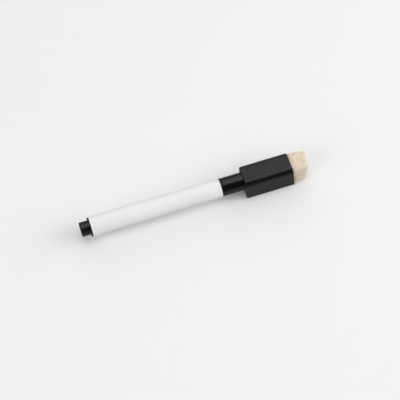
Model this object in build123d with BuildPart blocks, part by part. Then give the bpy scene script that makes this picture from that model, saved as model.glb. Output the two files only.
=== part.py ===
"""A small capillary whiteboard marker with a square eraser block on its cap.

The marker lies along X, with its tail plug towards -X and its felt eraser towards +X. The origin is under the
middle of its length, in the plane of the eraser block's magnet face. The block's bore sits above its middle, which
leaves room for the magnet under the cap's sleeve. All sizes are in millimetres.
"""

import os

from build123d import *

os.makedirs("parts", exist_ok=True)

# ---------------------------------------------------------------- lengths along the pen, from tail to eraser
stub_length = 4.4
flange_thickness = 0.8
barrel_length = 66.0
seam_thickness = 0.6
skirt_length = 10.7
room_behind_cap = 3.68
eraser_seat_depth = 6.0
eraser_proud = 8.4

# ---------------------------------------------------------------- diameters and sides
flange_diameter = 9.6
barrel_tail_diameter = 9.9
barrel_neck_diameter = 9.0
barrel_wall = 0.7
neck_diameter = 7.2
cap_wall = 0.9
nib_diameter = 3.0
block_side = 12.4
block_corner = 2.8
block_foot_corner = 0.8
bore_rise = 1.0
block_wall = 1.05
cavity_corner = 1.4

# ---------------------------------------------------------------- clearances, each one a gap on the radius or side
press_gap = 0.02
running_gap = 0.03
loose_gap = 0.25
seat_gap = 0.05
felt_gap = 0.1

# ---------------------------------------------------------------- tail plug
plug_wall = 0.9
plug_spigot_length = 6.0
crush_rib_count = 6
crush_rib_width = 0.6
crush_rib_height = 0.22
lead_in = 0.4
gate_dimple_diameter = 2.4
gate_dimple_depth = 0.3
stub_fillet = 0.45

# ---------------------------------------------------------------- ink reservoir
reservoir_end_room = 3.48
reservoir_air_gap = 0.35
film_thickness = 0.1
nib_tail_diameter = 2.2
nib_tail_in_reservoir = 5.0

# ---------------------------------------------------------------- nib holder and nib
holder_spigot_length = 9.0
holder_spigot_wall = 0.9
holder_web = 1.6
land_length = 9.1
land_relief = 0.15
land_band_length = 1.8
cone_length = 9.0
nose_diameter = 4.4
nose_length = 1.6
nib_proud = 3.4
nib_shaft_proud = 1.2
nib_tip_diameter = 2.0
vent_count = 3
vent_width = 0.6
vent_depth = 0.35

# ---------------------------------------------------------------- cap sleeve and inner cap
tip_room = 0.7
cap_end_wall = 0.9
cap_back_wall = 0.75
cap_step_inside_block = 2.4
inner_cap_wall = 0.45
inner_cap_end_wall = 0.6
seal_length = 1.0

# ---------------------------------------------------------------- eraser block
shoulder_wall = 1.2
shoulder_fillet = 0.6
rim_fillet = 0.25
hub_length = 8.0
hub_wall = 0.8
seat_rib_width = 0.9
seat_rib_spacing = 6.4
eraser_glue_thickness = 0.4
eraser_edge = 0.7

# ---------------------------------------------------------------- magnet in the block's lower face
magnet_diameter = 8.0
magnet_thickness = 1.5
magnet_glue_thickness = 0.1
magnet_recess = 0.1
pocket_wall = 0.9
pocket_floor = 0.75
magnet_edge = 0.15

# ---------------------------------------------------------------- places along X
neck_length = land_length + cone_length + nose_length
cap_end_thickness = inner_cap_end_wall + press_gap + cap_end_wall
cap_depth = neck_length + nib_proud + tip_room + cap_end_thickness
block_length = cap_depth - skirt_length + room_behind_cap + eraser_seat_depth
pen_length = stub_length + flange_thickness + barrel_length + seam_thickness
rear_x = -(pen_length + skirt_length + block_length + eraser_proud) / 2
flange_x = rear_x + stub_length
barrel_x = flange_x + flange_thickness
seam_x = barrel_x + barrel_length
neck_x = seam_x + seam_thickness
shoulder_x = neck_x + skirt_length
block_end_x = shoulder_x + block_length
land_end_x = neck_x + land_length
cone_end_x = land_end_x + cone_length
nose_end_x = cone_end_x + nose_length
nib_tip_x = nose_end_x + nib_proud
cap_end_x = neck_x + cap_depth
inner_cap_end_x = cap_end_x - cap_end_wall - press_gap
holder_back_x = seam_x - holder_spigot_length
reservoir_x = barrel_x + plug_spigot_length + reservoir_end_room
reservoir_end_x = holder_back_x - press_gap
reservoir_length = reservoir_end_x - reservoir_x
nib_tail_x = reservoir_end_x - nib_tail_in_reservoir
seat_x = block_end_x - eraser_seat_depth

# ---------------------------------------------------------------- radii worked out from the sizes above
barrel_tail_r = barrel_tail_diameter / 2
barrel_neck_r = barrel_neck_diameter / 2
bore_r = barrel_neck_r - barrel_wall
spigot_rib_r = bore_r - press_gap
spigot_r = spigot_rib_r - crush_rib_height
land_r = neck_diameter / 2
relief_r = land_r - land_relief
stub_r = land_r
cap_bore_r = land_r + running_gap
cap_r = cap_bore_r + cap_wall
cap_back_r = cap_bore_r + cap_back_wall
nose_r = nose_diameter / 2
nib_r = nib_diameter / 2
nib_bore_r = nib_r + press_gap
reservoir_r = bore_r - crush_rib_height - reservoir_air_gap
inner_cap_r = cap_bore_r - press_gap
inner_cap_mouth_r = inner_cap_r - inner_cap_wall
magnet_r = magnet_diameter / 2
pocket_r = magnet_r + press_gap
magnet_cup_r = pocket_r + pocket_wall
magnet_x = seat_x - magnet_cup_r - felt_gap
pocket_depth = magnet_recess + magnet_thickness + magnet_glue_thickness
cavity_side = block_side - 2 * block_wall
eraser_side = cavity_side - 2 * felt_gap
eraser_corner = cavity_corner - felt_gap

# ---------------------------------------------------------------- the pen's axis and its working planes
block_middle = block_side / 2
axis_height = block_middle + bore_rise
pen_axis = Axis((0, 0, axis_height), (1, 0, 0))
profile = Plane(origin=(0, 0, axis_height), x_dir=(1, 0, 0), z_dir=(0, -1, 0))


def station(x):
    """The plane across the pen at x, centred on its axis, with its normal along +X."""
    return Plane(origin=(x, 0, axis_height), x_dir=(0, 1, 0), z_dir=(1, 0, 0))


def block_station(x):
    """The plane across the pen at x, centred on the eraser block, which puts the pen's axis at (0, bore_rise)."""
    return Plane(origin=(x, 0, block_middle), x_dir=(0, 1, 0), z_dir=(1, 0, 0))


def band(start, length, outer, inner=0.0, mode=Mode.ADD):
    """Draws the half section of a round band between two radii, in the profile plane."""
    with Locations((start, inner)):
        Rectangle(length, outer - inner, align=(Align.MIN, Align.MIN), mode=mode)


def taper(start, length, first, last, mode=Mode.ADD):
    """Draws the half section of a solid cone that goes from one radius to another."""
    Polygon((start, 0), (start, first), (start + length, last), (start + length, 0), align=None, mode=mode)


def turned_edges(builder, x, radius):
    """The round edges of a turned piece that lie at x with this radius."""
    return [
        edge
        for edge in builder.edges().filter_by(GeomType.CIRCLE)
        if abs(edge.arc_center.X - x) < 1e-4 and abs(edge.radius - radius) < 1e-4
    ]


def crush_ribs(start, length):
    """Raised ribs on a spigot, which wedge it in the barrel's bore."""
    with BuildSketch(station(start)) as ribs:
        with PolarLocations(spigot_r, crush_rib_count):
            Rectangle(2 * crush_rib_height, crush_rib_width)
        Circle(spigot_rib_r, mode=Mode.INTERSECT)
    extrude(ribs.sketch, amount=length)


# ================================================================ the pen
with BuildPart() as barrel_tube:
    with BuildSketch(profile):
        taper(barrel_x, barrel_length, barrel_tail_r, barrel_neck_r)
        band(barrel_x, barrel_length, bore_r, mode=Mode.SUBTRACT)
    revolve(axis=pen_axis)
    fillet(turned_edges(barrel_tube, barrel_x, barrel_tail_r), radius=0.15)
    fillet(turned_edges(barrel_tube, seam_x, barrel_neck_r), radius=0.15)
    chamfer(turned_edges(barrel_tube, barrel_x, bore_r), length=0.2)
    chamfer(turned_edges(barrel_tube, seam_x, bore_r), length=0.2)
barrel_tube.part.label = "barrel_tube"

with BuildPart() as end_plug:
    hollow_r = stub_r - plug_wall
    with BuildSketch(profile):
        band(rear_x, stub_length, stub_r)
        band(flange_x, flange_thickness, flange_diameter / 2)
        band(barrel_x, plug_spigot_length, spigot_r)
        band(rear_x + plug_wall, barrel_x + plug_spigot_length - rear_x - plug_wall, hollow_r, mode=Mode.SUBTRACT)
        band(rear_x, gate_dimple_depth, gate_dimple_diameter / 2, mode=Mode.SUBTRACT)
    revolve(axis=pen_axis)
    crush_ribs(barrel_x, plug_spigot_length - lead_in)
    fillet(turned_edges(end_plug, rear_x, stub_r), radius=stub_fillet)
    fillet(turned_edges(end_plug, flange_x, flange_diameter / 2), radius=0.2)
    fillet(turned_edges(end_plug, barrel_x, flange_diameter / 2), radius=0.15)
    chamfer(turned_edges(end_plug, barrel_x + plug_spigot_length, spigot_r), length=0.3)
end_plug.part.label = "end_plug"

with BuildPart() as ink_reservoir:
    with BuildSketch(profile):
        band(reservoir_x, reservoir_length, reservoir_r - film_thickness - press_gap)
        band(
            nib_tail_x - press_gap,
            nib_tail_in_reservoir + press_gap,
            nib_tail_diameter / 2 + press_gap,
            mode=Mode.SUBTRACT,
        )
    revolve(axis=pen_axis)
ink_reservoir.part.label = "ink_reservoir"

with BuildPart() as reservoir_film:
    with BuildSketch(profile):
        band(reservoir_x, reservoir_length, reservoir_r, reservoir_r - film_thickness)
    revolve(axis=pen_axis)
reservoir_film.part.label = "reservoir_film"

with BuildPart() as nib_holder:
    throat_r = spigot_r - holder_spigot_wall
    throat_length = holder_spigot_length - holder_web
    with BuildSketch(profile):
        band(holder_back_x, holder_spigot_length, spigot_r)
        band(seam_x, seam_thickness, cap_r)
        band(neck_x, land_length, relief_r)
        band(neck_x, land_band_length, land_r)
        band(land_end_x - land_band_length, land_band_length, land_r)
        taper(land_end_x, cone_length, relief_r, nose_r)
        band(cone_end_x, nose_length, nose_r)
        band(holder_back_x, throat_length, throat_r, mode=Mode.SUBTRACT)
        band(holder_back_x, nose_end_x - holder_back_x, nib_bore_r, mode=Mode.SUBTRACT)
    revolve(axis=pen_axis)
    crush_ribs(holder_back_x + lead_in, holder_spigot_length - lead_in)
    fillet(turned_edges(nib_holder, nose_end_x, nose_r), radius=0.3)
    fillet(turned_edges(nib_holder, seam_x, cap_r), radius=0.12)
    fillet(turned_edges(nib_holder, neck_x, cap_r), radius=0.12)
    chamfer(turned_edges(nib_holder, holder_back_x, spigot_r), length=0.3)
    with BuildSketch(station(holder_back_x + throat_length)):
        with PolarLocations(nib_bore_r, vent_count):
            Rectangle(2 * vent_depth, vent_width)
    extrude(amount=nose_end_x - holder_back_x - throat_length, mode=Mode.SUBTRACT)
nib_holder.part.label = "nib_holder"

with BuildPart() as nib:
    bullet_x = nose_end_x + nib_shaft_proud
    nib_back_x = holder_back_x + throat_length + press_gap
    with BuildSketch(profile):
        band(nib_tail_x, nib_back_x - nib_tail_x, nib_tail_diameter / 2)
        band(nib_back_x, bullet_x - nib_back_x, nib_r)
        taper(bullet_x, nib_tip_x - bullet_x, nib_r, nib_tip_diameter / 2)
    revolve(axis=pen_axis)
    fillet(turned_edges(nib, nib_tip_x, nib_tip_diameter / 2), radius=0.8)
    chamfer(turned_edges(nib, nib_tail_x, nib_tail_diameter / 2), length=0.4)
nib.part.label = "nib"

# ================================================================ the cap
with BuildPart() as cap_sleeve:
    cap_mouth_x = neck_x + seat_gap
    cap_step_x = shoulder_x + cap_step_inside_block
    with BuildSketch(profile):
        band(cap_mouth_x, cap_step_x - cap_mouth_x, cap_r)
        band(cap_step_x, cap_end_x - cap_step_x, cap_back_r)
        band(cap_mouth_x, inner_cap_end_x + press_gap - cap_mouth_x, cap_bore_r, mode=Mode.SUBTRACT)
    revolve(axis=pen_axis)
    fillet(turned_edges(cap_sleeve, cap_mouth_x, cap_r), radius=0.25)
    chamfer(turned_edges(cap_sleeve, cap_mouth_x, cap_bore_r), length=0.2)
    fillet(turned_edges(cap_sleeve, cap_end_x, cap_back_r), radius=0.4)
cap_sleeve.part.label = "cap_sleeve"

with BuildPart() as inner_cap:
    cone_slope = (relief_r - nose_r) / cone_length
    inner_cap_x = land_end_x + (relief_r - inner_cap_mouth_r + loose_gap) / cone_slope
    seal_x = nose_end_x - seal_length
    with BuildSketch(profile):
        band(inner_cap_x, inner_cap_end_x - inner_cap_x, inner_cap_r)
        taper(
            inner_cap_x,
            seal_x - inner_cap_x,
            inner_cap_mouth_r,
            nose_r + loose_gap,
            mode=Mode.SUBTRACT,
        )
        band(seal_x, seal_length, nose_r + running_gap, mode=Mode.SUBTRACT)
        band(nose_end_x, nib_proud + tip_room, nib_r + loose_gap, mode=Mode.SUBTRACT)
    revolve(axis=pen_axis)
inner_cap.part.label = "inner_cap"

# ================================================================ the eraser block
with BuildPart() as eraser_holder:
    with BuildSketch(block_station(shoulder_x)) as outline:
        Rectangle(block_side, block_side)
        fillet(outline.vertices().sort_by(Axis.Y)[-2:], radius=block_corner)
        fillet(outline.vertices().sort_by(Axis.Y)[:2], radius=block_foot_corner)
    extrude(amount=block_length)
    fillet(eraser_holder.faces().sort_by(Axis.X)[0].edges(), radius=shoulder_fillet)
    with BuildSketch(block_station(shoulder_x + shoulder_wall)):
        RectangleRounded(cavity_side, cavity_side, cavity_corner)
    extrude(amount=block_length - shoulder_wall, mode=Mode.SUBTRACT)
    fillet(eraser_holder.faces().sort_by(Axis.X)[-1].edges(), radius=rim_fillet)

    # Hub that carries the cap sleeve, and the ribs that the eraser's glue pad sits on.
    with BuildSketch(block_station(shoulder_x + shoulder_wall)):
        with Locations((0, bore_rise)):
            Circle(cap_r + running_gap + hub_wall)
        RectangleRounded(cavity_side, cavity_side, cavity_corner, mode=Mode.INTERSECT)
    extrude(amount=hub_length - shoulder_wall)
    with BuildSketch(block_station(shoulder_x + shoulder_wall)):
        with GridLocations(seat_rib_spacing, 0, 2, 1):
            Rectangle(seat_rib_width, cavity_side)
        with GridLocations(0, seat_rib_spacing, 1, 2):
            Rectangle(cavity_side, seat_rib_width)
        with Locations((0, bore_rise)):
            Circle(cap_back_r + loose_gap, mode=Mode.SUBTRACT)
    extrude(amount=block_length - shoulder_wall - eraser_seat_depth)

    # Pocket for the magnet, let into the lower face, with its own cup behind the wall.
    with BuildSketch(Plane.XY):
        with Locations((magnet_x, 0)):
            Circle(magnet_cup_r)
    extrude(amount=pocket_depth + pocket_floor)
    with BuildSketch(Plane.XY):
        with Locations((magnet_x, 0)):
            Circle(pocket_r)
    extrude(amount=pocket_depth, mode=Mode.SUBTRACT)

    # Stepped bore for the cap sleeve.
    with BuildSketch(profile):
        band(shoulder_x, cap_step_inside_block + seat_gap, cap_r + running_gap)
        band(shoulder_x, seat_x - shoulder_x, cap_back_r + running_gap)
    revolve(axis=pen_axis, mode=Mode.SUBTRACT)
eraser_holder.part.label = "eraser_holder"

with BuildPart() as magnet:
    with BuildSketch(Plane.XY.offset(magnet_recess)):
        with Locations((magnet_x, 0)):
            Circle(magnet_r)
    extrude(amount=magnet_thickness)
    chamfer(magnet.edges().filter_by(GeomType.CIRCLE), length=magnet_edge)
magnet.part.label = "magnet"

with BuildPart() as magnet_glue:
    with BuildSketch(Plane.XY.offset(magnet_recess + magnet_thickness)):
        with Locations((magnet_x, 0)):
            Circle(magnet_r - magnet_edge)
    extrude(amount=magnet_glue_thickness)
magnet_glue.part.label = "magnet_glue"

with BuildPart() as eraser_glue_pad:
    with BuildSketch(block_station(seat_x)):
        RectangleRounded(eraser_side, eraser_side, eraser_corner)
    extrude(amount=eraser_glue_thickness)
eraser_glue_pad.part.label = "eraser_glue_pad"

with BuildPart() as eraser_felt:
    eraser_x = seat_x + eraser_glue_thickness
    with BuildSketch(block_station(eraser_x)):
        RectangleRounded(eraser_side, eraser_side, eraser_corner)
    extrude(amount=block_end_x + eraser_proud - eraser_x)
    fillet(eraser_felt.faces().sort_by(Axis.X)[-1].edges(), radius=eraser_edge)
eraser_felt.part.label = "eraser_felt"

# ================================================================ one STEP file for each piece
pieces = (
    barrel_tube,
    end_plug,
    ink_reservoir,
    reservoir_film,
    nib_holder,
    nib,
    cap_sleeve,
    inner_cap,
    eraser_holder,
    magnet,
    magnet_glue,
    eraser_glue_pad,
    eraser_felt,
)
for piece in pieces:
    export_step(piece.part, f"parts/{piece.part.label}.step")
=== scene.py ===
# %% [markdown]
# # A mini whiteboard marker
# The marker is a white moulded barrel with a black tail plug, and a black cap that ends in a square
# block. A felt eraser stands out of the block, and a disc magnet in its lower face holds the marker
# on a steel board. Every hard part comes from the frame with its true size, so this lesson gives
# each one its finish, makes the felt that a CAD solid can't show, and lights it all with soft lamps,
# as a small product is usually lit.

# %% Load the frame
import math
import random

import bmesh
import bpy
from mathutils import Matrix, Vector, noise


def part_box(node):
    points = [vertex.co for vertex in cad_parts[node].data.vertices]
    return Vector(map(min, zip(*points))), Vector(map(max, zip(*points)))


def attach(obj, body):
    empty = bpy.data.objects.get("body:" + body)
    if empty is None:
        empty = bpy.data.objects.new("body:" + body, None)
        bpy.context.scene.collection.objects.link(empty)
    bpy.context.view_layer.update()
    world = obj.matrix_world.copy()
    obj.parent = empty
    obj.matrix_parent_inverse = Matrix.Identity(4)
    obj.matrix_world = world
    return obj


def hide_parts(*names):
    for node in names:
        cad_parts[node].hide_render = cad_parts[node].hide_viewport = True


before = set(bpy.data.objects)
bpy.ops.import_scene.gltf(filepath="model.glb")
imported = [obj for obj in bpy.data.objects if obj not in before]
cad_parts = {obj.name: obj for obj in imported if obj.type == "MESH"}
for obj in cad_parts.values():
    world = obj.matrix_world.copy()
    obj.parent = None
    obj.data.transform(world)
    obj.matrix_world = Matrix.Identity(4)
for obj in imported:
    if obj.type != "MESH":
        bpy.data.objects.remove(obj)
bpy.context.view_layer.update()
print("nodes:", ", ".join(sorted(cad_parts)))

# %% [markdown]
# ## Measures
# Blender works in metres, and a marker is small, so one millimetre gets a name. The places that the
# scene needs come from the frame's own boxes. They follow the model if a size changes.

# %% Read the places from the frame
MM = 0.001
block_low, block_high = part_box("eraser_holder")
felt_low, felt_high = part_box("eraser_felt")
barrel_low, barrel_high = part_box("barrel_tube")
axis_height = (barrel_low.z + barrel_high.z) / 2
felt_free = felt_high.x - block_high.x
print(f"axis {axis_height / MM:.2f} mm up, felt stands {felt_free / MM:.2f} mm out")

# %% Helper for new objects


def add_object(name, data):
    """A new object in the scene, at the origin."""
    made = bpy.data.objects.new(name, data)
    bpy.context.collection.objects.link(made)
    return made


# %% [markdown]
# ## The camera
# A product picture of something this small is taken with a long lens from about a metre away, so
# the barrel hardly narrows towards its far end. The camera looks down steeply, and a slight roll
# lays the marker across the frame.

# %% Place the camera
CAMERA_AZIMUTH = math.radians(-9.62)
CAMERA_ELEVATION = math.radians(57.67)
CAMERA_ROLL = math.radians(-8.64)
CAMERA_DISTANCE = 1.0961
CAMERA_LENS = 203.1
CAMERA_CLIP_START = 0.05
camera_target = Vector((2.1 * MM, -3.33 * MM, axis_height))


def make_camera():
    """A camera on a sphere round its target, facing it and rolled about its own line of sight."""
    data = bpy.data.cameras.new("camera")
    data.lens = CAMERA_LENS
    data.clip_start = CAMERA_CLIP_START
    camera = add_object("camera", data)
    level = math.cos(CAMERA_ELEVATION)
    towards_camera = Vector(
        (
            math.sin(CAMERA_AZIMUTH) * level,
            -math.cos(CAMERA_AZIMUTH) * level,
            math.sin(CAMERA_ELEVATION),
        )
    )
    facing = towards_camera.to_track_quat("Z", "Y").to_matrix().to_4x4()
    place = Matrix.Translation(camera_target + towards_camera * CAMERA_DISTANCE)
    camera.matrix_world = place @ facing @ Matrix.Rotation(CAMERA_ROLL, 4, "Z")
    bpy.context.scene.camera = camera
    return camera


camera = make_camera()
print("camera at", [round(v, 4) for v in camera.matrix_world.translation])

# %% [markdown]
# ## The floor and the light
# Black plastic shows mostly what it mirrors, while the white barrel and the floor show how much
# light falls on them. So there are two sets of soft lamps. The shading lamps stand all round and
# leave out the gloss. The gloss cards hang above and behind, and only mirrors see them: the faces
# that look up and back turn grey, a crisp line runs along the edge of the block, and the curve
# below that edge falls off to black. Each card hangs a little in front of its lamp, because two
# lamps in the same place would hide each other.

# %% Lay the floor
FLOOR_SIZE = 3.0
FLOOR_CUTS = 4
FLOOR_COLOR = (0.80, 0.80, 0.80, 1)
FLOOR_ROUGHNESS = 0.6


def make_floor():
    """A wide plane just below the magnet face, cut into a coarse grid."""
    mesh = bpy.data.meshes.new("floor")
    shape = bmesh.new()
    bmesh.ops.create_grid(
        shape, x_segments=FLOOR_CUTS, y_segments=FLOOR_CUTS, size=FLOOR_SIZE / 2
    )
    shape.to_mesh(mesh)
    shape.free()
    floor = add_object("floor", mesh)
    paint = bpy.data.materials.new("floor")
    paint.use_nodes = True
    shader = paint.node_tree.nodes["Principled BSDF"]
    shader.inputs["Base Color"].default_value = FLOOR_COLOR
    shader.inputs["Roughness"].default_value = FLOOR_ROUGHNESS
    shader.inputs["Specular IOR Level"].default_value = 0.0
    mesh.materials.append(paint)
    return floor


floor = make_floor()
print("floor:", [round(side, 2) for side in floor.dimensions])

# %% Make one lamp
SHADE = "shade"
GLOSS = "gloss"


def make_lamp(name, place, width, height, power, seen):
    """A rectangular soft lamp that faces the marker and shows in its shading or in its gloss."""
    data = bpy.data.lights.new(name, "AREA")
    data.shape = "RECTANGLE"
    data.size = width
    data.size_y = height
    data.energy = power
    lamp = add_object(name, data)
    facing = (-Vector(place)).to_track_quat("-Z", "Y")
    lamp.matrix_world = Matrix.Translation(place) @ facing.to_matrix().to_4x4()
    lamp.visible_glossy = seen == GLOSS
    lamp.visible_diffuse = seen == SHADE


print("lamps show in:", SHADE, "or", GLOSS)

# %% Hang the lamps
# Each row: where the lamp hangs, its width and height, and for a shading lamp its power in watts.
CARD_POWER = 5.5
shading_lamps = {
    "top_lamp": ((0, 0, 1.2), 1.0, 0.6, 4),
    "high_back_lamp": ((0, 0.45, 1.15), 1.4, 0.6, 1),
    "back_lamp": ((0, 0.9, 0.85), 1.6, 0.7, 3),
    "low_back_lamp": ((0, 1.2, 0.45), 1.6, 0.5, 3.5),
    "front_lamp": ((0, -0.5, 1.15), 0.6, 0.5, 1),
    "low_front_lamp": ((0, -1.1, 0.5), 1.0, 0.5, 1),
    "left_lamp": ((-1.0, 0, 0.45), 0.8, 0.6, 1.5),
    "right_lamp": ((1.0, 0, 0.45), 0.8, 0.6, 4),
    "near_left_lamp": ((-0.9, -0.45, 0.6), 0.8, 0.8, 4.5),
    "near_right_lamp": ((0.9, -0.45, 0.6), 0.8, 0.8, 6),
}
gloss_cards = {
    "top_card": ((0, 0, 1.18), 1.0, 0.6),
    "high_back_card": ((0, 0.44, 1.13), 1.4, 0.5),
    "back_card": ((0, 0.88, 0.83), 1.6, 0.6),
}
for name, settings in shading_lamps.items():
    make_lamp(name, *settings, SHADE)
for name, settings in gloss_cards.items():
    make_lamp(name, *settings, CARD_POWER, GLOSS)
print("lamps:", len(shading_lamps), "that shade and", len(gloss_cards), "that show in the gloss")

# %% Light the room
ROOM_STRENGTH = 0.06
world = bpy.data.worlds.new("room")
world.use_nodes = True
background = world.node_tree.nodes["Background"]
background.inputs["Color"].default_value = (1, 1, 1, 1)
background.inputs["Strength"].default_value = ROOM_STRENGTH
bpy.context.scene.world = world
bpy.context.scene.view_settings.view_transform = "Standard"
print("room strength:", ROOM_STRENGTH)

# %% [markdown]
# ## Shared effects
# Moulded plastic is never perfectly even: the steel mould leaves a fine skin on it, its tone drifts
# a little, and handling leaves soft smudges and hair-thin scratches. Each effect is one node group
# with its own inputs, so that every material can use it at its own scale and strength.

# %% Helpers for groups and links


def new_group(name, inputs, outputs):
    """An empty shader node group with the named sockets, and its two end nodes."""
    group = bpy.data.node_groups.new(name, "ShaderNodeTree")
    for socket, kind, value in inputs:
        made = group.interface.new_socket(name=socket, in_out="INPUT", socket_type=kind)
        if value is not None:
            made.default_value = value
    for socket, kind in outputs:
        group.interface.new_socket(name=socket, in_out="OUTPUT", socket_type=kind)
    start = group.nodes.new("NodeGroupInput")
    end = group.nodes.new("NodeGroupOutput")
    return group, start, end


def wire(tree, *pairs):
    """Joins output sockets to input sockets."""
    for source, target in pairs:
        tree.links.new(source, target)


print("groups:", len(bpy.data.node_groups))

# %% Helpers for single nodes


def add_noise(tree, vector, scale, detail=2.0, rough=0.5):
    """A noise texture on the given vector; scale is a number or a socket."""
    node = tree.nodes.new("ShaderNodeTexNoise")
    node.inputs["Detail"].default_value = detail
    node.inputs["Roughness"].default_value = rough
    tree.links.new(vector, node.inputs["Vector"])
    if isinstance(scale, (int, float)):
        node.inputs["Scale"].default_value = scale
    else:
        tree.links.new(scale, node.inputs["Scale"])
    return node.outputs["Fac"]


def add_math(tree, operation, first, second=0.0, third=None):
    """A math node; each value is a number or a socket."""
    node = tree.nodes.new("ShaderNodeMath")
    node.operation = operation
    for slot, value in enumerate((first, second, third)):
        if value is None:
            continue
        if isinstance(value, (int, float)):
            node.inputs[slot].default_value = value
        else:
            tree.links.new(value, node.inputs[slot])
    return node.outputs[0]


def add_range(tree, value, low, high, to_low=0.0, to_high=1.0):
    """Maps a value from one range to another, smoothly and without going past its ends."""
    node = tree.nodes.new("ShaderNodeMapRange")
    node.interpolation_type = "SMOOTHSTEP"
    for slot, number in zip((1, 2, 3, 4), (low, high, to_low, to_high)):
        node.inputs[slot].default_value = number
    tree.links.new(value, node.inputs[0])
    return node.outputs[0]


def add_mix(tree, fac, first, second):
    """Mixes two colours; each is a tuple or a socket."""
    node = tree.nodes.new("ShaderNodeMix")
    node.data_type = "RGBA"
    tree.links.new(fac, node.inputs[0])
    for slot, value in ((6, first), (7, second)):
        if isinstance(value, tuple):
            node.inputs[slot].default_value = value
        else:
            tree.links.new(value, node.inputs[slot])
    return node.outputs[2]


def add_stretch(tree, vector, rotation, scale):
    """Turns and stretches a vector, which draws a pattern out into lines."""
    node = tree.nodes.new("ShaderNodeMapping")
    node.inputs["Rotation"].default_value = rotation
    node.inputs["Scale"].default_value = scale
    wire(tree, (vector, node.inputs["Vector"]))
    return node.outputs["Vector"]


print("node helpers: noise, math, range, mix and stretch")

# %% Mould skin


def make_mould_skin():
    """Fine spark-eroded grain on top of a slow waviness, as a height, and a slow drift of tone."""
    group, start, end = new_group(
        "mould skin",
        [
            ("Vector", "NodeSocketVector", None),
            ("Grain Scale", "NodeSocketFloat", 6000.0),
            ("Wave Scale", "NodeSocketFloat", 260.0),
            ("Grain", "NodeSocketFloat", 0.5),
        ],
        [("Height", "NodeSocketFloat"), ("Tone", "NodeSocketFloat")],
    )
    vector = start.outputs["Vector"]
    grain = add_noise(group, vector, start.outputs["Grain Scale"], 3.0, 0.6)
    wave = add_noise(group, vector, start.outputs["Wave Scale"], 1.0)
    height = add_math(group, "MULTIPLY_ADD", grain, start.outputs["Grain"], wave)
    tone = add_noise(group, vector, 90.0, 3.0)
    wire(group, (height, end.inputs["Height"]), (tone, end.inputs["Tone"]))
    return group


mould_skin = make_mould_skin()
print(mould_skin.name, "has", len(mould_skin.nodes), "nodes")

# %% Handling marks
SCRATCH_TURNS = (0.5, 2.1)
SCRATCH_STRETCH = (1.0, 22.0, 22.0)
SCRATCH_WIDTH = 0.012


def make_handling_marks():
    """Soft smudges, and hair-thin scratches in two directions that fade in and out."""
    group, start, end = new_group(
        "handling marks",
        [("Vector", "NodeSocketVector", None), ("Scratch Scale", "NodeSocketFloat", 220.0)],
        [("Smudge", "NodeSocketFloat"), ("Scratch", "NodeSocketFloat")],
    )
    vector = start.outputs["Vector"]
    smudge = add_range(group, add_noise(group, vector, 140.0, 4.0, 0.65), 0.42, 0.68)
    fade = add_range(group, add_noise(group, vector, 170.0, 2.0), 0.52, 0.66)
    total = None
    for turn in SCRATCH_TURNS:
        drawn = add_stretch(group, vector, (turn, 0.4 * turn, turn), SCRATCH_STRETCH)
        lines = add_noise(group, drawn, start.outputs["Scratch Scale"], 1.0)
        middle = add_math(group, "ABSOLUTE", add_math(group, "SUBTRACT", lines, 0.5))
        thin = add_range(group, middle, 0.0, SCRATCH_WIDTH, 1, 0)
        total = thin if total is None else add_math(group, "MAXIMUM", total, thin)
    wire(
        group,
        (smudge, end.inputs["Smudge"]),
        (add_math(group, "MULTIPLY", total, fade), end.inputs["Scratch"]),
    )
    return group


handling_marks = make_handling_marks()
print(handling_marks.name, "has", len(handling_marks.nodes), "nodes")

# %% Place a group in a material


def add_group(tree, group, vector, **values):
    """Places a node group on the given vector and sets its named inputs."""
    node = tree.nodes.new("ShaderNodeGroup")
    node.node_tree = group
    tree.links.new(vector, node.inputs["Vector"])
    for name, value in values.items():
        node.inputs[name.replace("_", " ")].default_value = value
    return node


def new_material(name, roughness, specular=0.5):
    """A material with its Principled shader and an Object coordinate."""
    material = bpy.data.materials.new(name)
    material.use_nodes = True
    tree = material.node_tree
    shader = tree.nodes["Principled BSDF"]
    shader.inputs["Roughness"].default_value = roughness
    shader.inputs["Specular IOR Level"].default_value = specular
    coordinate = tree.nodes.new("ShaderNodeTexCoord").outputs["Object"]
    return material, tree, shader, coordinate


def add_bump(tree, shader, height, distance):
    """Feeds a height to the shader's normal; distance is the depth in metres."""
    bump = tree.nodes.new("ShaderNodeBump")
    bump.inputs["Distance"].default_value = distance
    wire(tree, (height, bump.inputs["Height"]), (bump.outputs["Normal"], shader.inputs["Normal"]))


print("groups:", ", ".join(group.name for group in bpy.data.node_groups))

# %% [markdown]
# ## Moulded plastics
# The barrel is white polypropylene with a soft sheen. The block and plug are black with a satin
# skin, and the round part of the cap comes from a polished mould, so it is glossier. One function
# makes all of them, because they differ only in two tones, a roughness range, the strength of their
# mirror and how deep the skin is.

# %% Make one plastic
SCRATCH_ROUGHNESS = 0.12


def make_plastic(name, dark, light, smooth, rough, specular, skin_depth, grain):
    """A moulded plastic whose tone, gloss and skin all vary a little."""
    material, tree, shader, vector = new_material(name, smooth, specular)
    skin = add_group(tree, mould_skin, vector, Grain=grain)
    marks = add_group(tree, handling_marks, vector)
    tone = add_range(tree, skin.outputs["Tone"], 0.3, 0.7)
    color = add_mix(tree, tone, dark, light)
    gloss = add_range(tree, marks.outputs["Smudge"], 0.0, 1.0, smooth, rough)
    worn = add_math(
        tree, "MULTIPLY_ADD", marks.outputs["Scratch"], SCRATCH_ROUGHNESS, gloss
    )
    wire(tree, (color, shader.inputs["Base Color"]), (worn, shader.inputs["Roughness"]))
    add_bump(tree, shader, skin.outputs["Height"], skin_depth)
    return material


print("a scratch adds", SCRATCH_ROUGHNESS, "to the roughness")

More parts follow.
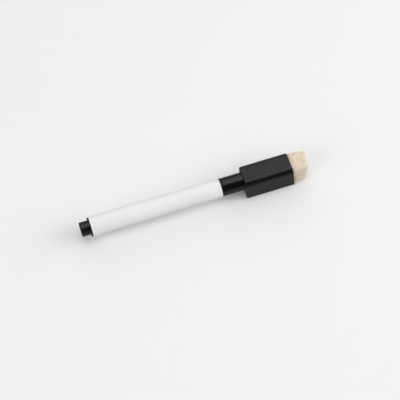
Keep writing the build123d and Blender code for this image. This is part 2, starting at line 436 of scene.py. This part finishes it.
# %% Make the plastics
white_plastic = make_plastic(
    "white polypropylene",
    dark=(0.74, 0.74, 0.74, 1),
    light=(0.775, 0.775, 0.772, 1),
    smooth=0.42,
    rough=0.55,
    specular=0.06,
    skin_depth=0.03 * MM,
    grain=0.10,
)
satin_black = make_plastic(
    "satin black plastic",
    dark=(0.0035, 0.0035, 0.0037, 1),
    light=(0.006, 0.006, 0.0061, 1),
    smooth=0.34,
    rough=0.44,
    specular=0.21,
    skin_depth=0.05 * MM,
    grain=0.22,
)
gloss_black = make_plastic(
    "glossy black plastic",
    dark=(0.0025, 0.0025, 0.0026, 1),
    light=(0.0035, 0.0035, 0.0036, 1),
    smooth=0.20,
    rough=0.30,
    specular=0.21,
    skin_depth=0.02 * MM,
    grain=0.08,
)
natural_plastic = make_plastic(
    "natural polyethylene",
    dark=(0.62, 0.62, 0.58, 1),
    light=(0.72, 0.72, 0.68, 1),
    smooth=0.35,
    rough=0.45,
    specular=0.5,
    skin_depth=0.03 * MM,
    grain=0.15,
)
plastics = (white_plastic, satin_black, gloss_black, natural_plastic)
print("plastics:", ", ".join(plastic.name for plastic in plastics))

# %% [markdown]
# ## The felt eraser
# The eraser is a block cut from thick pressed wool felt. Its faces are nearly flat but never quite,
# its cut edges are soft, and loose fibres stand out of it everywhere. A remesh of a bevelled cube
# gives an even skin of small faces. Each point then moves: the felt swells where it leaves its
# socket, its end is worn to a slant, and a little noise makes lumps and pits. Real fibres go on
# after that.

# %% Helpers for the felt
FELT_EDGE = 1.2 * MM
FELT_EDGE_STEPS = 5
FELT_VOXEL = 0.2 * MM
felt_middle = (felt_low + felt_high) / 2


def smooth_step(value, low, high):
    """Rises smoothly from 0 to 1 between two values."""
    t = min(max((value - low) / (high - low), 0.0), 1.0)
    return t * t * (3 - 2 * t)


def finished_mesh(piece):
    """A new mesh of a piece, as its modifiers or its curve settings leave it."""
    graph = bpy.context.evaluated_depsgraph_get()
    return bpy.data.meshes.new_from_object(piece.evaluated_get(graph))


def make_even_block():
    """A bevelled block of the felt's size, remeshed into small even faces."""
    mesh = bpy.data.meshes.new("eraser")
    shape = bmesh.new()
    bmesh.ops.create_cube(shape, size=1.0)
    bmesh.ops.scale(shape, vec=felt_high - felt_low, verts=shape.verts)
    bmesh.ops.translate(shape, vec=felt_middle, verts=shape.verts)
    bmesh.ops.bevel(
        shape,
        geom=shape.edges,
        offset=FELT_EDGE,
        offset_type="OFFSET",
        affect="EDGES",
        segments=FELT_EDGE_STEPS,
        profile=0.5,
        material=-1,
    )
    shape.to_mesh(mesh)
    shape.free()
    felt = add_object("eraser", mesh)
    remesh = felt.modifiers.new("even faces", "REMESH")
    remesh.mode = "VOXEL"
    remesh.voxel_size = FELT_VOXEL
    felt.data = finished_mesh(felt)
    felt.modifiers.clear()
    bpy.data.meshes.remove(mesh)
    return felt


felt = make_even_block()
print(f"felt block: {len(felt.data.polygons)} faces")

# %% Wear the felt
FELT_LUMP = 0.22 * MM
FELT_LUMP_SIZE = 2.4 * MM
FELT_PIT = 0.06 * MM
FELT_PIT_SIZE = 0.45 * MM
FELT_SWELL = 0.36 * MM
FELT_SLANT = 0.8 * MM
FELT_SKEW = 0.3 * MM
# Shares of the felt's free length: where it is fully free, where it starts to taper, and to wear.
FREE_FROM = 0.12
TAPER_FROM = 0.3
WORN_FROM = 0.1
# How many times its swelling the felt loses again by its end.
TAPER = 1.5
felt_half = (felt_high.z - felt_low.z) / 2


def wear_felt(mesh):
    """Swells the felt past its socket, slants its worn end and pushes its skin in unevenly."""
    outward = [vertex.normal.copy() for vertex in mesh.vertices]
    for vertex, normal in zip(mesh.vertices, outward):
        place = vertex.co.copy()
        reach = (place.x - block_high.x) / felt_free
        free = smooth_step(reach, 0.0, FREE_FROM)
        across = (place - felt_middle) / felt_half
        swell = FELT_SWELL * free * (1.0 - TAPER * smooth_step(reach, TAPER_FROM, 1.0))
        lump = noise.noise(place / FELT_LUMP_SIZE) * 0.5 + 0.5
        pit = noise.noise(place / FELT_PIT_SIZE) * 0.5 + 0.5
        place -= normal * (lump * FELT_LUMP + pit * FELT_PIT) * free
        place.y += across.y * swell
        place.z += across.z * swell
        tilt = FELT_SKEW * across.y - FELT_SLANT * (1 - across.z)
        place.x += smooth_step(reach, WORN_FROM, 1.0) * tilt
        vertex.co = place
    for polygon in mesh.polygons:
        polygon.use_smooth = True


wear_felt(felt.data)
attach(felt, "eraser_head")
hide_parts("eraser_felt")
print("felt:", [round(side / MM, 2) for side in felt.dimensions], "mm")

# %% Draw one fibre
FIBRE_RADIUS = 0.014 * MM
FIBRE_ROOT = 0.05 * MM
FIBRE_POINTS = 4
FIBRE_LEAN = (0.15, 0.75)
FIBRE_REACH = (0.35, 1.0)
FIBRE_CURL = 0.3
FIBRE_DROOP = 0.35
FIBRE_TAPER = 0.5


def draw_direction(draw):
    """A random direction, of random length."""
    return Vector([draw.gauss(0, 1) for _ in range(3)])


def add_fibre(data, face, draw):
    """One curled fibre, rooted just under a face, as a spline."""
    out = Vector(face.normal)
    along = out.cross(draw_direction(draw)).normalized()
    lean = draw.uniform(*FIBRE_LEAN)
    reach = draw.uniform(*FIBRE_REACH) * MM
    root = face.center - out * FIBRE_ROOT
    heading = (out * lean + along * (1 - lean)).normalized()
    curl = draw_direction(draw) * FIBRE_CURL
    spline = data.splines.new("NURBS")
    spline.points.add(FIBRE_POINTS - 1)
    for step, point in enumerate(spline.points):
        t = step / (FIBRE_POINTS - 1)
        bend = (curl - out * FIBRE_DROOP * lean) * reach * t * t
        point.co = (*(root + heading * reach * t + bend), 1)
        point.radius = 1.0 - FIBRE_TAPER * t
    spline.order_u = 3
    spline.use_endpoint_u = True


print("fibres reach", FIBRE_REACH, "mm out")

# %% Grow the loose fibres
FIBRE_COUNT = 2600
FIBRE_SEED = 11
# Faces this far out of the socket carry fibres.
FIBRE_CLEAR = 0.1 * MM


def grow_fibres():
    """Short curled fibres, rooted just under the felt's free skin, as one mesh of thin tubes."""
    draw = random.Random(FIBRE_SEED)
    start = block_high.x + FIBRE_CLEAR
    free_faces = [face for face in felt.data.polygons if face.center.x > start]
    data = bpy.data.curves.new("fibres", "CURVE")
    data.dimensions = "3D"
    data.bevel_depth = FIBRE_RADIUS
    data.bevel_resolution = 0
    data.resolution_u = 3
    for _ in range(FIBRE_COUNT):
        add_fibre(data, draw.choice(free_faces), draw)
    holder = add_object("fibre curves", data)
    mesh = finished_mesh(holder)
    mesh.name = "eraser_fibres"
    bpy.data.objects.remove(holder)
    return add_object("eraser_fibres", mesh)


fibres = grow_fibres()
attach(fibres, "eraser_head")
print(f"fibres: {len(fibres.data.polygons)} faces")

# %% Felt material
FELT_DARK = (0.57, 0.445, 0.32, 1)
FELT_LIGHT = (0.81, 0.69, 0.55, 1)
FELT_STRAND = (0.86, 0.76, 0.64, 1)
TANGLE_TURNS = (0.3, 1.4, 2.6)
TANGLE_STRETCH = (1.0, 6.0, 6.0)
TANGLE_DEPTH = 0.25 * MM


def make_felt_material():
    """Pale beige wool: mottled, matt, with a tangle of fine fibres in its bump."""
    material, tree, shader, vector = new_material("wool felt", 0.95, 0.1)
    shader.inputs["Sheen Weight"].default_value = 0.25
    shader.inputs["Sheen Roughness"].default_value = 0.5
    mottle = add_range(tree, add_noise(tree, vector, 700.0, 4.0, 0.6), 0.3, 0.7)
    color = add_mix(tree, mottle, FELT_DARK, FELT_LIGHT)
    tangle = None
    for turn in TANGLE_TURNS:
        drawn = add_stretch(tree, vector, (turn, turn * 0.7, turn * 1.3), TANGLE_STRETCH)
        strand = add_noise(tree, drawn, 1100.0, 2.0)
        tangle = strand if tangle is None else add_math(tree, "MAXIMUM", tangle, strand)
    shade = add_range(tree, tangle, 0.45, 0.8)
    color = add_mix(tree, shade, color, FELT_STRAND)
    wire(tree, (color, shader.inputs["Base Color"]))
    add_bump(tree, shader, tangle, TANGLE_DEPTH)
    return material


wool_felt = make_felt_material()
for piece in (felt, fibres):
    piece.data.materials.clear()
    piece.data.materials.append(wool_felt)
print("felt material:", wool_felt.name)

# %% [markdown]
# ## Give every node its finish
# The nodes from the frame keep their meshes. Only the material in their slots changes. The magnet
# is nickel-plated, and the nib and the reservoir are bonded fibre soaked in ink.

# %% Other finishes
NICKEL_DARK = (0.58, 0.56, 0.52, 1)
NICKEL_LIGHT = (0.68, 0.66, 0.62, 1)
ALONG_THE_PEN = (0.08, 1.0, 1.0)


def make_metal():
    """Bright nickel plating with a faint cloudiness."""
    material, tree, shader, vector = new_material("nickel plating", 0.2)
    shader.inputs["Metallic"].default_value = 1.0
    cloud = add_noise(tree, vector, 500.0, 3.0)
    color = add_mix(tree, add_range(tree, cloud, 0.3, 0.7), NICKEL_DARK, NICKEL_LIGHT)
    marks = add_group(tree, handling_marks, vector, Scratch_Scale=500.0)
    gloss = add_range(tree, marks.outputs["Smudge"], 0.0, 1.0, 0.16, 0.30)
    wire(tree, (color, shader.inputs["Base Color"]), (gloss, shader.inputs["Roughness"]))
    add_bump(tree, shader, marks.outputs["Scratch"], -0.01 * MM)
    return material


def make_fibre(name, dark, light, scale):
    """Bonded fibre, as in a nib or an ink reservoir: matt, with strands that run along the pen."""
    material, tree, shader, vector = new_material(name, 0.8, 0.3)
    drawn = add_stretch(tree, vector, (0, 0, 0), ALONG_THE_PEN)
    strand = add_noise(tree, drawn, scale, 3.0, 0.6)
    color = add_mix(tree, add_range(tree, strand, 0.35, 0.65), dark, light)
    wire(tree, (color, shader.inputs["Base Color"]))
    add_bump(tree, shader, strand, 0.06 * MM)
    return material


nickel = make_metal()
inked_nib = make_fibre(
    "inked nib fibre", dark=(0.006, 0.006, 0.008, 1), light=(0.03, 0.03, 0.036, 1), scale=4000.0
)
inked_reservoir = make_fibre(
    "inked reservoir fibre", dark=(0.05, 0.05, 0.06, 1), light=(0.2, 0.2, 0.22, 1), scale=3000.0
)
film = make_plastic(
    "reservoir film",
    dark=(0.55, 0.56, 0.58, 1),
    light=(0.68, 0.69, 0.71, 1),
    smooth=0.15,
    rough=0.3,
    specular=0.5,
    skin_depth=0.02 * MM,
    grain=0.02,
)
glue = make_plastic(
    "set glue",
    dark=(0.5, 0.42, 0.25, 1),
    light=(0.66, 0.58, 0.4, 1),
    smooth=0.3,
    rough=0.5,
    specular=0.5,
    skin_depth=0.05 * MM,
    grain=0.1,
)
print("materials:", len(bpy.data.materials))

# %% Put the finishes on
finishes = {
    "barrel_tube": white_plastic,
    "end_plug": satin_black,
    "nib_holder": satin_black,
    "cap_sleeve": gloss_black,
    "eraser_holder": satin_black,
    "inner_cap": natural_plastic,
    "magnet": nickel,
    "nib": inked_nib,
    "ink_reservoir": inked_reservoir,
    "reservoir_film": film,
    "magnet_glue": glue,
    "eraser_glue_pad": glue,
}


def put_finish(node, material):
    """Puts one material in every slot of a node's mesh."""
    mesh = node.data
    if not mesh.materials:
        mesh.materials.append(material)
    for index in range(len(mesh.materials)):
        mesh.materials[index] = material


for name, material in finishes.items():
    put_finish(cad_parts[name], material)
print("finished nodes:", len(finishes))
